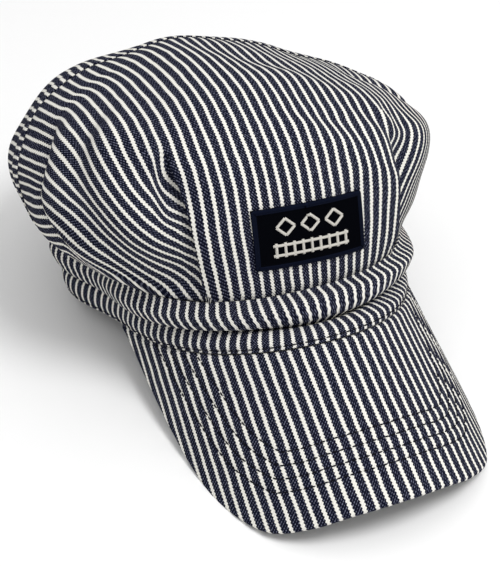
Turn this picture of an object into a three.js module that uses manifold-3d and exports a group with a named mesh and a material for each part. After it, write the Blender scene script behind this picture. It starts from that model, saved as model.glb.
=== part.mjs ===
// Railroad engineer cap in striped denim: a soft two-piece crown with two front pleats, sewn to a low
// creased band, with a long curved brim and a sewn patch on the front. Millimetres, +Z up, brim towards -Y.
// The cap is drawn level, with its origin in the middle of the head oval at the height of the brim seam,
// and then pitched so that it stands on the back of its hem and on the two corners of its brim.
import * as THREE from 'three';
import { mergeVertices } from 'three/addons/utils/BufferGeometryUtils.js';
import Module from 'manifold-3d';

const wasm = await Module();
wasm.setup();

// Head opening: an egg-shaped oval, longer towards the brim
const headWidth = 156;
const headFrontReach = 112.5;
const headBackReach = 92;
const earDrop = 17.3;

// Band: its top edge sets back at the brim and flares a little over the ears and at the back
const bandSideHeight = 31;
const bandFrontHeight = 18;
const bandFrontSetback = 21.5;
const bandSideFlare = 1;
const bandBackFlare = 4;
const bandLean = 2;
const bandWall = 2;
const bandRoll = 2.4;
const bandCrease = 2.6;
const kinkDepth = 2.2;
const kinkAngle = 32;
const kinkWidth = 12;

// The back of the band lies swung to the wearer's right, its hem from a little nearer the brim than its top
// edge. Angles run from the middle of the brim round by the wearer's right.
const hemSwing = 19;
const hemSwingStart = 78;
const hemSwingFull = 116;
const topSwing = 20;
const topSwingStart = 84;
const topSwingFull = 116;
const swingEase = 190;
const swingEnd = 245;

// Crown: how far it bulges out over the band on each side, and where its top lies
const crownFrontReach = 91;
const crownRightReach = 112.5;
const crownLeftReach = 103;
const crownBackReach = 124;
const crownRise = 99.5;
const crownSlump = 22.5;
const crownSlumpForward = 3.5;
const crownWall = 2;

// Front pleats: the middle of the front laps over the sides
const pleatHalfSpan = 50;
const pleatSpread = 10;
const pleatLap = 2.2;
const pleatDepth = 5.5;
const pleatStepWidth = 2;
const pleatTopSection = 6;
const pleatFadeSection = 3.6;
const pleatLapWidth = 9;
const pleatTuckWidth = 13;

// Felled seam from ear to ear, behind the top
const seamBack = 28;
const seamHeight = 71;
const seamLean = 0.4;
const seamWidth = 6;
const seamProud = 1.2;
const seamLapGap = 0.5;

// Brim: cloth over a stiff board, ruled straight from the hem
const brimLength = 83.5;
const brimSlope = 37.5;
const brimSpread = 3.5;
const brimEndAngle = 82;
const brimThickness = 3;

// Patch on the front of the crown
const patchWidth = 57;
const patchHeight = 30.5;
const patchThickness = 1;
const patchBorder = 2.6;
const patchBorderProud = 0.4;
const patchBorderSlope = 1;
const patchAboveBand = 13.5;
const patchTilt = 2.8;
const patchSeat = 0.55;

// Pieces stay this far apart, and the cloth on the floor is pressed flat this much
const gap = 0.3;
const hemFlattening = 1.6;
const brimFlattening = 0.9;

const bandTopHeight = bandSideHeight - earDrop;
const squareness = 2.3;
const degree = Math.PI / 180;

// Crown sections from the band to the top. A reach is a share of the crown's reach on that side, and a
// rise is a share of the crown's rise above the band's side. The first row lies on the band's top edge.
const crownSections = [
  { frontReach: 1.0, frontRise: 0.04, rightReach: 0.72, rightRise: 0.0, leftReach: 0.75, leftRise: 0.0,
    backReach: 0.77, backRise: 0.0 },
  { frontReach: 0.99, frontRise: 0.2, rightReach: 0.835, rightRise: 0.08, leftReach: 0.83, leftRise: 0.08,
    backReach: 0.865, backRise: 0.07 },
  { frontReach: 0.975, frontRise: 0.37, rightReach: 0.95, rightRise: 0.215, leftReach: 0.91, leftRise: 0.215,
    backReach: 0.955, backRise: 0.205 },
  { frontReach: 0.945, frontRise: 0.53, rightReach: 1.0, rightRise: 0.37, leftReach: 0.985, leftRise: 0.365,
    backReach: 1.0, backRise: 0.335 },
  { frontReach: 0.875, frontRise: 0.675, rightReach: 0.99, rightRise: 0.52, leftReach: 1.0, leftRise: 0.495,
    backReach: 0.955, backRise: 0.48 },
  { frontReach: 0.76, frontRise: 0.785, rightReach: 0.895, rightRise: 0.66, leftReach: 0.9, leftRise: 0.61,
    backReach: 0.85, backRise: 0.635 },
  { frontReach: 0.615, frontRise: 0.88, rightReach: 0.75, rightRise: 0.8, leftReach: 0.72, leftRise: 0.735,
    backReach: 0.7, backRise: 0.785 },
  { frontReach: 0.46, frontRise: 0.945, rightReach: 0.535, rightRise: 0.89, leftReach: 0.5, leftRise: 0.84,
    backReach: 0.495, backRise: 0.905 },
  { frontReach: 0.275, frontRise: 0.98, rightReach: 0.285, rightRise: 0.955, leftReach: 0.255, leftRise: 0.93,
    backReach: 0.27, backRise: 0.98 },
  { frontReach: 0.0, frontRise: 1.0, rightReach: 0.0, rightRise: 1.0, leftReach: 0.0, leftRise: 1.0,
    backReach: 0.0, backRise: 1.0 },
];
const topSection = crownSections.length - 1;

// Soft dents in the crown, and swells where the depth is below zero. An angle is in degrees from the brim,
// towards the wearer's left, a level is a share of the way from band to top, and a depth is a share of the
// pleat's depth.
const crownDents = [
  { angle: -132, level: 0.7, angleWidth: 12, levelWidth: 0.06, depth: -0.7 },
  { angle: 96, level: 0.5, angleWidth: 12, levelWidth: 0.09, depth: -0.35 },
  { angle: -60, level: 0.52, angleWidth: 16, levelWidth: 0.1, depth: 0.45 },
  { angle: -48, level: 0.78, angleWidth: 14, levelWidth: 0.07, depth: 0.35 },
  { angle: 22, level: 0.66, angleWidth: 13, levelWidth: 0.08, depth: 0.4 },
  { angle: 120, level: 0.6, angleWidth: 14, levelWidth: 0.1, depth: 0.4 },
  { angle: 168, level: 0.38, angleWidth: 12, levelWidth: 0.2, depth: 0.5 },
  { angle: -140, level: 0.35, angleWidth: 9, levelWidth: 0.2, depth: 0.5 },
];

// Folds down the crown's sides, each from one angle and level to another, with its depth as a share of
// the pleat's depth
const crownFolds = [
  { fromAngle: -91, fromLevel: 0.62, toAngle: -73, toLevel: 0.25, angleWidth: 5, depth: 0.85 },
  { fromAngle: 90, fromLevel: 0.6, toAngle: 75, toLevel: 0.26, angleWidth: 6, depth: 0.65 },
];

// Profile of the band from hem to crown: how far it stands out, as a share of its roll or of its crease
const bandProfile = [
  { level: 0.0, roll: 0.0, crease: 0.0 },
  { level: 0.2, roll: 0.55, crease: 0.0 },
  { level: 0.38, roll: 0.35, crease: 0.25 },
  { level: 0.5, roll: 0.0, crease: 1.0 },
  { level: 0.62, roll: 0.6, crease: 0.2 },
  { level: 0.8, roll: 1.0, crease: 0.0 },
  { level: 1.0, roll: 0.0, crease: 0.0 },
];

// Outline of the brim: length along the brim's rulings against the angle from its middle, both as shares
const brimOutline = [
  { angle: 0.0, length: 1.0 },
  { angle: 0.2, length: 1.02 },
  { angle: 0.4, length: 1.08 },
  { angle: 0.54, length: 1.11 },
  { angle: 0.64, length: 1.06 },
  { angle: 0.73, length: 0.97 },
  { angle: 0.79, length: 0.84 },
  { angle: 0.85, length: 0.64 },
  { angle: 0.92, length: 0.37 },
  { angle: 1.0, length: 0.05 },
];

const headSide = headWidth / 2;

function smooth(from, to, value) {
  const share = THREE.MathUtils.clamp((value - from) / (to - from), 0, 1);
  return share * share * (3 - 2 * share);
}

function bell(distance, width) {
  return Math.exp(-0.5 * (distance / width) ** 2);
}

// Smooth value of one column of a table at a place given in rows
function between(rows, column, place) {
  const last = rows.length - 1;
  const row = Math.min(Math.floor(place), last - 1);
  const share = place - row;
  const at = (i) => rows[THREE.MathUtils.clamp(i, 0, last)][column];
  const slopeIn = (at(row + 1) - at(row - 1)) / 2;
  const slopeOut = (at(row + 2) - at(row)) / 2;
  const rise = at(row + 1) - at(row);
  const bend = slopeIn + slopeOut - 2 * rise;
  const turn = 3 * rise - 2 * slopeIn - slopeOut;
  return at(row) + share * (slopeIn + share * (turn + share * bend));
}

// Place in rows where a rising column of a table has a value
function placeOf(rows, column, value) {
  let row = 0;
  while (row < rows.length - 2 && rows[row + 1][column] < value) row += 1;
  const low = rows[row][column];
  return row + THREE.MathUtils.clamp((value - low) / (rows[row + 1][column] - low), 0, 1);
}

// Share of its swing that the band has taken at an angle
function swingShare(angle, start, full) {
  const turned = THREE.MathUtils.euclideanModulo(-angle / degree, 360);
  return smooth(start, full, turned) * (1 - smooth(swingEase, swingEnd, turned));
}

// Hem of the band, an oval that hangs lower at the ears and keeps that level round the back
function hemPoint(angle) {
  const front = Math.cos(angle) > 0;
  const reach = front ? headFrontReach : headBackReach;
  const drop = front ? Math.sin(angle) ** 2 : 1;
  const x = headSide * Math.sin(angle) - hemSwing * swingShare(angle, hemSwingStart, hemSwingFull);
  return new THREE.Vector3(x, -reach * Math.cos(angle), -earDrop * drop);
}

function bandTopPoint(angle) {
  const front = Math.cos(angle) > 0;
  const reach = front ? headFrontReach - bandFrontSetback : headBackReach + bandBackFlare;
  const lift = (bandFrontHeight - bandTopHeight) * Math.max(Math.cos(angle), 0) ** 2;
  const side = (headSide + bandSideFlare) * squared(Math.sin(angle)) - bandLean * Math.abs(Math.sin(angle));
  const x = side - topSwing * swingShare(angle, topSwingStart, topSwingFull);
  return new THREE.Vector3(x, -reach * squared(Math.cos(angle)), bandTopHeight + lift);
}

function squared(value) {
  return Math.sign(value) * Math.abs(value) ** (2 / squareness);
}

// Crown loft through its sections, before it is seated on the band
function crownLoft(angle, place) {
  const sine = Math.sin(angle);
  const cosine = Math.cos(angle);
  const side = sine > 0 ? 'left' : 'right';
  const end = cosine > 0 ? 'front' : 'back';
  const sideReach = between(crownSections, `${side}Reach`, place);
  const endReach = between(crownSections, `${end}Reach`, place);
  const sideRise = between(crownSections, `${side}Rise`, place);
  const endRise = between(crownSections, `${end}Rise`, place);
  const reaches = { left: crownLeftReach, right: crownRightReach, front: crownFrontReach, back: crownBackReach };
  const slump = (place / topSection) ** 2;
  return new THREE.Vector3(
    sideReach * reaches[side] * squared(sine) - crownSlump * slump,
    -endReach * reaches[end] * squared(cosine) - crownSlumpForward * slump,
    bandTopHeight + crownRise * (sideRise * sine ** 2 + endRise * cosine ** 2),
  );
}

// Crown surface before its pleats and dents: its foot is drawn onto the band's top edge
function crownBase(angle, place) {
  const seat = bandTopPoint(angle).sub(crownLoft(angle, 0));
  return crownLoft(angle, place).addScaledVector(seat, 1 - smooth(0, 1.5, place));
}

// Angle of a pleat's edge at a level of the crown: it runs nearly straight up from the band
function pleatAngle(side, place) {
  const level = Math.min(place, pleatTopSection);
  const column = side > 0 ? 'leftReach' : 'rightReach';
  const reach = between(crownSections, column, level) * (side > 0 ? crownLeftReach : crownRightReach);
  const across = pleatHalfSpan + pleatSpread * (level / pleatTopSection);
  const slump = crownSlump * (level / topSection) ** 2;
  const share = THREE.MathUtils.clamp((across + side * slump) / reach, 0.3, 0.92);
  return Math.asin(share ** (squareness / 2));
}

// How far the crown's cloth stands out of its plain surface
function crownOffset(angle, place) {
  const side = Math.sin(angle) < 0 ? -1 : 1;
  const turned = Math.acos(Math.cos(angle)) / degree;
  const past = turned - pleatAngle(side, place) / degree;
  const stepAngle = pleatStepWidth / headSide / degree;
  const fade = smooth(0, 0.9, place) * (1 - smooth(pleatFadeSection, pleatTopSection, place));
  const lap = pleatLap * bell(Math.min(past, 0), pleatLapWidth);
  const tuck = -pleatDepth * bell(Math.max(past - stepAngle, 0), pleatTuckWidth);
  let offset = fade * THREE.MathUtils.lerp(lap, tuck, THREE.MathUtils.clamp(past / stepAngle, 0, 1));
  const level = place / topSection;
  for (const dent of crownDents) {
    const away = turned * side - dent.angle;
    const apart = Math.abs(away) > 180 ? 360 - Math.abs(away) : away;
    offset -= dent.depth * pleatDepth * bell(apart, dent.angleWidth) * bell(level - dent.level, dent.levelWidth);
  }
  for (const fold of crownFolds) {
    const along = (level - fold.fromLevel) / (fold.toLevel - fold.fromLevel);
    const away = turned * side - THREE.MathUtils.lerp(fold.fromAngle, fold.toAngle, along);
    const share = smooth(-0.3, 0.15, along) * (1 - smooth(0.85, 1.3, along));
    offset -= fold.depth * pleatDepth * share * bell(away, fold.angleWidth);
  }
  return offset * smooth(0, 0.6, place);
}

function crownNormal(angle, place) {
  const step = 0.02;
  const low = Math.min(Math.max(place, step), topSection - 2 * step);
  const along = crownBase(angle + step, low).sub(crownBase(angle - step, low));
  const up = crownBase(angle, low + step).sub(crownBase(angle, low - step));
  return along.cross(up).normalize();
}

function crownPoint(angle, place, outward) {
  const normal = crownNormal(angle, place);
  return crownBase(angle, place).addScaledVector(normal, crownOffset(angle, place) + outward);
}

// Angles of the crown's columns at a level: a column runs along each side of each pleat's edge
function crownColumns(place) {
  const frontColumns = 20;
  const sideColumns = 27;
  const right = pleatAngle(-1, place);
  const left = pleatAngle(1, place);
  const step = pleatStepWidth / headSide;
  const angles = [];
  for (let i = 0; i <= frontColumns; i += 1) {
    const share = i / frontColumns;
    angles.push(THREE.MathUtils.lerp(-right, left, share));
  }
  for (let i = 0; i <= sideColumns; i += 1) {
    angles.push(THREE.MathUtils.lerp(left + step, Math.PI, i / sideColumns));
  }
  for (let i = sideColumns - 1; i >= 0; i -= 1) {
    angles.push(2 * Math.PI - THREE.MathUtils.lerp(right + step, Math.PI, i / sideColumns));
  }
  return angles;
}

// One closed body from rings of points: the first and last ring close on a point, or on each other
function loft(rings, firstPoint, lastPoint) {
  const count = rings[0].length;
  const positions = [];
  for (const ring of rings) for (const point of ring) positions.push(...point.toArray());
  const triangles = [];
  const joined = firstPoint === undefined;
  const spans = joined ? rings.length : rings.length - 1;
  for (let i = 0; i < spans; i += 1) {
    for (let j = 0; j < count; j += 1) {
      const next = (j + 1) % count;
      const a = i * count + j;
      const b = i * count + next;
      const c = ((i + 1) % rings.length) * count + next;
      const d = ((i + 1) % rings.length) * count + j;
      triangles.push(a, b, c, a, c, d);
    }
  }
  if (!joined) {
    const first = rings.length * count;
    positions.push(...firstPoint.toArray(), ...lastPoint.toArray());
    for (let j = 0; j < count; j += 1) {
      const next = (j + 1) % count;
      const lastRing = (rings.length - 1) * count;
      triangles.push(first, next, j, first + 1, lastRing + j, lastRing + next);
    }
  }
  return outwardGeometry(positions, triangles);
}

function outwardGeometry(positions, triangles) {
  let volume = 0;
  const corner = (i) => new THREE.Vector3().fromArray(positions, 3 * triangles[i]);
  for (let i = 0; i < triangles.length; i += 3) {
    volume += corner(i).dot(corner(i + 1).cross(corner(i + 2)));
  }
  if (volume < 0) triangles.reverse();
  const geometry = new THREE.BufferGeometry();
  geometry.setAttribute('position', new THREE.Float32BufferAttribute(positions, 3));
  geometry.setIndex(triangles);
  return geometry;
}

function toManifold(geometry) {
  const merged = mergeVertices(geometry, 1e-4);
  const vertProperties = Float32Array.from(merged.attributes.position.array);
  const triVerts = Uint32Array.from(merged.index.array);
  return new wasm.Manifold(new wasm.Mesh({ numProp: 3, vertProperties, triVerts }));
}

function toGeometry(body) {
  const mesh = body.getMesh();
  const geometry = new THREE.BufferGeometry();
  geometry.setAttribute('position', new THREE.BufferAttribute(mesh.vertProperties, 3));
  geometry.setIndex(new THREE.BufferAttribute(mesh.triVerts, 1));
  return geometry;
}

// Shell of the crown between two distances from its outer surface, open at the band
function crownShell(inward, outward, places) {
  const rings = [];
  for (const place of [...places].reverse()) {
    rings.push(crownColumns(place).map((angle) => crownPoint(angle, place, -inward)));
  }
  for (const place of places) {
    rings.push(crownColumns(place).map((angle) => crownPoint(angle, place, outward)));
  }
  const top = crownBase(0, topSection);
  const inside = top.clone().add(new THREE.Vector3(0, 0, -inward));
  return loft(rings, inside, top.clone().add(new THREE.Vector3(0, 0, outward)));
}

// Part of a body between two distances behind the felled seam
function behindSeam(body, from, to) {
  const normal = new THREE.Vector3(0, 1, -seamLean).normalize();
  const seamPoint = new THREE.Vector3(0, seamBack, seamHeight).dot(normal);
  let part = body;
  if (from !== null) part = part.trimByPlane(normal.toArray(), seamPoint + from);
  if (to !== null) part = part.trimByPlane(normal.clone().negate().toArray(), -(seamPoint + to));
  return part;
}

const crownPlaces = [0.02, 0.35, 0.7, 1.1, 1.6, 2.1, 2.6, 3.1, 3.6, 4.1, 4.6, 5.1, 5.6, 6.2, 6.8, 7.4, 8, 8.5];
const crownBody = toManifold(crownShell(crownWall, 0, crownPlaces));
const seamPlaces = crownPlaces.slice(2);
const lapBody = toManifold(crownShell(-seamLapGap, seamProud, seamPlaces));
const hemBody = toManifold(crownShell(crownWall / 2, seamProud, seamPlaces));
const frontGeometry = toGeometry(behindSeam(crownBody, null, -gap / 2));
const backGeometry = toGeometry(
  behindSeam(crownBody, gap / 2, null)
    .add(behindSeam(lapBody, -seamWidth * 0.7, gap))
    .add(behindSeam(hemBody, gap / 2, seamWidth * 0.3)),
);

// Band: rolled out above and below a crease that wanders, with a kink to the wearer's left of the patch
function bandSection(angle) {
  const hem = hemPoint(angle);
  const top = bandTopPoint(angle).add(new THREE.Vector3(0, 0, -gap));
  const up = top.clone().sub(hem);
  const along = hemPoint(angle + 0.01).sub(hemPoint(angle - 0.01));
  const normal = along.cross(up).normalize();
  const turned = Math.acos(Math.cos(angle)) / degree * Math.sign(Math.sin(angle));
  const wander = 0.75 + 0.25 * Math.cos(angle * 3 + 1);
  const depth = bandCrease * wander + kinkDepth * bell(turned - kinkAngle, kinkWidth);
  const outer = bandProfile.map(({ level, roll, crease }) => {
    const out = bandRoll * roll - depth * crease;
    return hem.clone().addScaledVector(up, level).addScaledVector(normal, out);
  });
  const inner = outer.map((point) => point.clone().addScaledVector(normal, -bandWall)).reverse();
  return [...outer, ...inner];
}

// Brim: straight rulings from the hem, with a rounded edge
function brimRuling(angle) {
  const lean = new THREE.Vector3(
    Math.tan(brimSpread * degree) * Math.sin(angle),
    -Math.cos(brimSlope * degree),
    -Math.sin(brimSlope * degree),
  );
  return lean.normalize();
}

function brimNormal(angle) {
  const along = hemPoint(angle + 0.01).sub(hemPoint(angle - 0.01));
  return brimRuling(angle).cross(along).normalize();
}

function brimSection(share) {
  const angle = share * brimEndAngle * degree;
  const length = brimLength * between(brimOutline, 'length', placeOf(brimOutline, 'angle', Math.abs(share)));
  const ruling = brimRuling(angle);
  const normal = brimNormal(angle);
  const start = hemPoint(angle);
  const at = (along, out) => start.clone().addScaledVector(ruling, along).addScaledVector(normal, out);
  const edge = Math.min(brimThickness / 2, length / 3);
  const steps = [0, 0.25, 0.5, 0.75, 1];
  const root = rootGap(angle);
  const upper = steps.map((step) => at(THREE.MathUtils.lerp(root, length - edge, step), 0));
  const lower = steps.map((step) => at(THREE.MathUtils.lerp(root, length - edge, step), -brimThickness));
  return [...upper, at(length, -brimThickness / 2), ...lower.reverse()];
}

// Length along a ruling that keeps the brim's root clear of the hem, which it meets at a slant
function rootGap(angle) {
  const along = hemPoint(angle + 0.01).sub(hemPoint(angle - 0.01)).normalize();
  return 1.2 * gap / along.cross(brimRuling(angle)).length();
}

// Patch: a cloth plate that follows the crown, with a raised border
function patchPoint(across, height, out) {
  const target = bandTopPoint(0).z + patchAboveBand + height - across * Math.tan(patchTilt * degree);
  let low = 0;
  let high = 5;
  for (let i = 0; i < 40; i += 1) {
    const middle = (low + high) / 2;
    if (crownBase(frontAngle(across, middle), middle).z < target) low = middle;
    else high = middle;
  }
  return crownPoint(frontAngle(across, low), low, out);
}

function frontAngle(across, place) {
  const side = across > 0 ? 1 : -1;
  const column = side > 0 ? 'leftReach' : 'rightReach';
  const reach = between(crownSections, column, place) * (side > 0 ? crownLeftReach : crownRightReach);
  const slump = crownSlump * (place / topSection) ** 2;
  const share = THREE.MathUtils.clamp((Math.abs(across) + side * slump) / reach, 0, 1);
  return side * Math.asin(share ** (squareness / 2));
}

function patchSection(share) {
  const across = patchWidth * (share - 0.5);
  const rows = [0, patchBorder, patchBorder + patchBorderSlope, patchHeight / 2,
    patchHeight - patchBorder - patchBorderSlope, patchHeight - patchBorder, patchHeight];
  const nearSide = Math.min(share, 1 - share) * patchWidth <= patchBorder + 0.01;
  const outer = rows.map((height, i) => {
    const raised = nearSide || i < 2 || i > rows.length - 3;
    return patchPoint(across, height, patchSeat + patchThickness + (raised ? patchBorderProud : 0));
  });
  const inner = rows.map((height) => patchPoint(across, height, patchSeat)).reverse();
  return [...outer, ...inner];
}

function middleOf(ring) {
  const middle = new THREE.Vector3();
  for (const point of ring) middle.add(point);
  return middle.divideScalar(ring.length);
}

function cappedLoft(rings) {
  return loft(rings, middleOf(rings[0]), middleOf(rings[rings.length - 1]));
}

function evenly(count, from, to) {
  return Array.from({ length: count + 1 }, (_, i) => THREE.MathUtils.lerp(from, to, i / count));
}

// Pitch at which the brim's corners and the back of the hem stand on one floor
function heightAt(point, pitch) {
  return point.z * Math.cos(pitch) - point.y * Math.sin(pitch);
}

const bandColumns = 72;
const brimColumns = 44;
const bandTurn = 2 * Math.PI * (1 - 1 / bandColumns);
const bandRings = evenly(bandColumns - 1, 0, bandTurn).map(bandSection);
const brimRings = evenly(brimColumns, -1, 1).map(brimSection);

function lowest(rings, pitch) {
  return Math.min(...rings.flat().map((point) => heightAt(point, pitch)));
}

const steepestPitch = 30;
let pitchLow = 0;
let pitchHigh = steepestPitch * degree;
for (let i = 0; i < 40; i += 1) {
  const middle = (pitchLow + pitchHigh) / 2;
  const brimBottom = lowest(brimRings, middle) + brimFlattening;
  const hemBottom = lowest(bandRings, middle) + hemFlattening;
  if (brimBottom < hemBottom) pitchLow = middle;
  else pitchHigh = middle;
}
const restPitch = pitchLow;
const floorLevel = lowest(bandRings, restPitch) + hemFlattening;
const floorUp = new THREE.Vector3(0, -Math.sin(restPitch), Math.cos(restPitch));

function pressFlat(rings) {
  for (const point of rings.flat()) {
    point.addScaledVector(floorUp, Math.max(floorLevel - heightAt(point, restPitch), 0));
  }
  return rings;
}

const bandGeometry = loft(pressFlat(bandRings));
const brimGeometry = cappedLoft(pressFlat(brimRings));
const borderShare = patchBorder / patchWidth;
const fieldShare = (patchBorder + patchBorderSlope) / patchWidth;
const patchShares = [0, borderShare, fieldShare, 0.17, 0.28, 0.39, 0.5, 0.61, 0.72, 0.83, 1 - fieldShare,
  1 - borderShare, 1];
const patchGeometry = cappedLoft(patchShares.map(patchSection));

function cloth(colour) {
  return new THREE.MeshStandardMaterial({ color: colour, roughness: 0.9, metalness: 0 });
}

function piece(name, geometry, colour) {
  const mesh = new THREE.Mesh(geometry, cloth(colour));
  mesh.name = name;
  return mesh;
}

const cap = new THREE.Group();
cap.add(piece('crown_front', frontGeometry, 0x5d6177));
cap.add(piece('crown_back', backGeometry, 0x555a70));
cap.add(piece('band', bandGeometry, 0x666a80));
cap.add(piece('brim', brimGeometry, 0x6c7086));
cap.add(piece('patch', patchGeometry, 0x0c0e16));
cap.rotation.x = -restPitch;
cap.updateMatrixWorld(true);

const bounds = new THREE.Box3().setFromObject(cap, true);
const middle = bounds.getCenter(new THREE.Vector3());
cap.position.set(-middle.x, -middle.y, -bounds.min.z);

const engineerCap = new THREE.Group();
engineerCap.add(cap);
export default engineerCap;
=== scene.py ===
"""Railroad engineer cap in hickory-striped denim, resting on a pale floor."""
import math

import bmesh
import bpy
import numpy as np
from mathutils import Matrix, Vector


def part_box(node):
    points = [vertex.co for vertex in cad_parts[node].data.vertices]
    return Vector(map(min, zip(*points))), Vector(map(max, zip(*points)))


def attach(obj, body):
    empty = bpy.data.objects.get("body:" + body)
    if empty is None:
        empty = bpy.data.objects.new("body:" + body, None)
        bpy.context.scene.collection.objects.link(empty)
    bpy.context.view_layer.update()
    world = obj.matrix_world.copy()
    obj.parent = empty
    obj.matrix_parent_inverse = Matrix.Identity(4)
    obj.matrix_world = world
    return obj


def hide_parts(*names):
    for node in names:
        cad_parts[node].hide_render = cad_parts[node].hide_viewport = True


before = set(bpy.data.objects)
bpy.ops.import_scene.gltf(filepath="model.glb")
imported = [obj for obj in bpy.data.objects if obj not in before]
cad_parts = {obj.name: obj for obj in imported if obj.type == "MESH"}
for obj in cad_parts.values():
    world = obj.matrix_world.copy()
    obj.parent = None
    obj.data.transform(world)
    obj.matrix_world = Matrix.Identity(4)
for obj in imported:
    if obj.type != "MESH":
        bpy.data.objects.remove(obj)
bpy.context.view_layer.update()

# Band. A straight strip of the denim, cut so that its stripes stand upright, folded and sewn round the
# head oval. It has gone soft: its upper half rolls out over a crease along its middle, and its back lies
# pressed flat on the floor.
REST_PITCH = math.radians(12.313)
HEAD_SIDE = 0.078
HEAD_FRONT_REACH = 0.1125
HEAD_BACK_REACH = 0.092
EAR_DROP = 0.0173
BAND_TOP_HEIGHT = 0.0137
BAND_FRONT_HEIGHT = 0.018
BAND_FRONT_SETBACK = 0.0215
BAND_SIDE_FLARE = 0.001
BAND_BACK_FLARE = 0.004
BAND_LEAN = 0.002
BAND_WALL = 0.002
BAND_ROLL = 0.0024
BAND_CREASE = 0.0026
KINK_DEPTH = 0.0022
KINK_ANGLE = 32
KINK_WIDTH = 12
HEM_SWING, HEM_SWING_ENDS = 0.019, (78, 116, 190, 245)
TOP_SWING, TOP_SWING_ENDS = 0.020, (84, 116, 190, 245)
CREASE_UNEVEN = 0.25
CREASE_PINCH, PINCH_LEVEL, PINCH_SPAN = 0.004, 0.48, 0.045
LIP_OUT, LIP_SIDES, LIP_LEVEL, LIP_SPAN = 0.0028, 0.3, 0.68, 0.12
LIP_DROOP, DROOP_LEVEL, DROOP_SPAN = 0.12, 0.565, 0.045
LOWER_SINK, SINK_ENDS = 0.0034, (0.1, 0.45, 0.47, 0.56)
FRONT_UNTIL, BACK_FROM = 45, 120
BUCKLE_DEPTH, BUCKLE_SPAN = 0.0032, 0.1
SQUARENESS = 2.3
BAND_PITCH = 0.00548
BAND_FIRST_STRIPE = 0.00166
UPPER_DRIFT = 0.35
BAND_CLOTH_HEIGHT = 0.036
BAND_COLUMNS, BAND_ROWS = 520, 41
SEAT_COLUMNS = 72
NAVY = (0.004, 0.0052, 0.0145)
NAVY_WORN = (0.17, 0.18, 0.25)
NAVY_CLOUD = (0.008, 0.008, 0.018)
CREAM = (0.84, 0.825, 0.77)
CREAM_SHADE = (0.50, 0.475, 0.42)

band_profile = [
    {"level": 0.0, "roll": 0.0, "crease": 0.0},
    {"level": 0.2, "roll": 0.55, "crease": 0.0},
    {"level": 0.38, "roll": 0.35, "crease": 0.25},
    {"level": 0.5, "roll": 0.0, "crease": 1.0},
    {"level": 0.62, "roll": 0.6, "crease": 0.2},
    {"level": 0.8, "roll": 1.0, "crease": 0.0},
    {"level": 1.0, "roll": 0.0, "crease": 0.0},
]

band_buckles = [
    {"angle": 46, "angle_width": 11, "level": 0.72, "out": 0.6},
    {"angle": 38, "angle_width": 9, "level": 0.42, "out": -1.0},
]


def smooth(start, end, value):
    share = np.clip((value - start) / (end - start), 0, 1)
    return share * share * (3 - 2 * share)


def bell(distance, width):
    return np.exp(-0.5 * (distance / width) ** 2)


def stretch(value, ends):
    """Share from 0 to 1 that rises between the first two ends and falls between the last two."""
    start, full, ease, end = ends
    return smooth(start, full, value) * (1 - smooth(ease, end, value))


def squared(value):
    """Turns a sine or cosine of a circle into that of a slightly squared oval."""
    return np.sign(value) * np.abs(value) ** (2 / SQUARENESS)


def between(rows, column, place):
    """Smooth value of one column of a table at places given in rows."""
    values = np.array([row[column] for row in rows])
    last = len(rows) - 1
    row = np.clip(np.floor(place).astype(int), 0, last - 1)
    share = place - row
    here, after = values[row], values[row + 1]
    before, beyond = values[np.maximum(row - 1, 0)], values[np.minimum(row + 2, last)]
    slope_in, slope_out, rise = (after - before) / 2, (beyond - here) / 2, after - here
    turn = 3 * rise - 2 * slope_in - slope_out
    bend = slope_in + slope_out - 2 * rise
    return here + share * (slope_in + share * (turn + share * bend))


def place_of(rows, column, value):
    """Places in rows where a rising column of a table has the given values."""
    return np.interp(value, [row[column] for row in rows], np.arange(len(rows)))


def unit(vectors):
    return vectors / np.linalg.norm(vectors, axis=-1, keepdims=True)


def path_length(points):
    """Length along the last line of points in an array, from its first point."""
    steps = np.linalg.norm(np.diff(points, axis=-2), axis=-1)
    start = np.zeros(steps.shape[:-1] + (1,))
    return np.concatenate([start, np.cumsum(steps, axis=-1)], -1)


def turned(angle):
    """Degrees from the middle of the brim, positive towards the wearer's left."""
    return np.degrees(np.arctan2(np.sin(angle), np.cos(angle)))


def round_right(angle):
    """Degrees round the head from the middle of the brim, by the wearer's right. The back swings that way."""
    return np.degrees(-angle) % 360


def hem_points(angle):
    """The band's lower edge, which the brim is sewn to."""
    front = np.cos(angle) > 0
    reach = np.where(front, HEAD_FRONT_REACH, HEAD_BACK_REACH)
    drop = np.where(front, np.sin(angle) ** 2, 1)
    side = HEAD_SIDE * np.sin(angle) - HEM_SWING * stretch(round_right(angle), HEM_SWING_ENDS)
    return np.stack([side, -reach * np.cos(angle), -EAR_DROP * drop], -1)


def hem_direction(angle):
    return unit(hem_points(angle + 0.01) - hem_points(angle - 0.01))


def band_top_points(angle):
    """The band's upper edge, which the crown is sewn to."""
    front = np.cos(angle) > 0
    reach = np.where(front, HEAD_FRONT_REACH - BAND_FRONT_SETBACK, HEAD_BACK_REACH + BAND_BACK_FLARE)
    lift = (BAND_FRONT_HEIGHT - BAND_TOP_HEIGHT) * np.maximum(np.cos(angle), 0) ** 2
    side = (HEAD_SIDE + BAND_SIDE_FLARE) * squared(np.sin(angle)) - BAND_LEAN * np.abs(np.sin(angle))
    side = side - TOP_SWING * stretch(round_right(angle), TOP_SWING_ENDS)
    return np.stack([side, -reach * squared(np.cos(angle)), BAND_TOP_HEIGHT + lift], -1)


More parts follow.
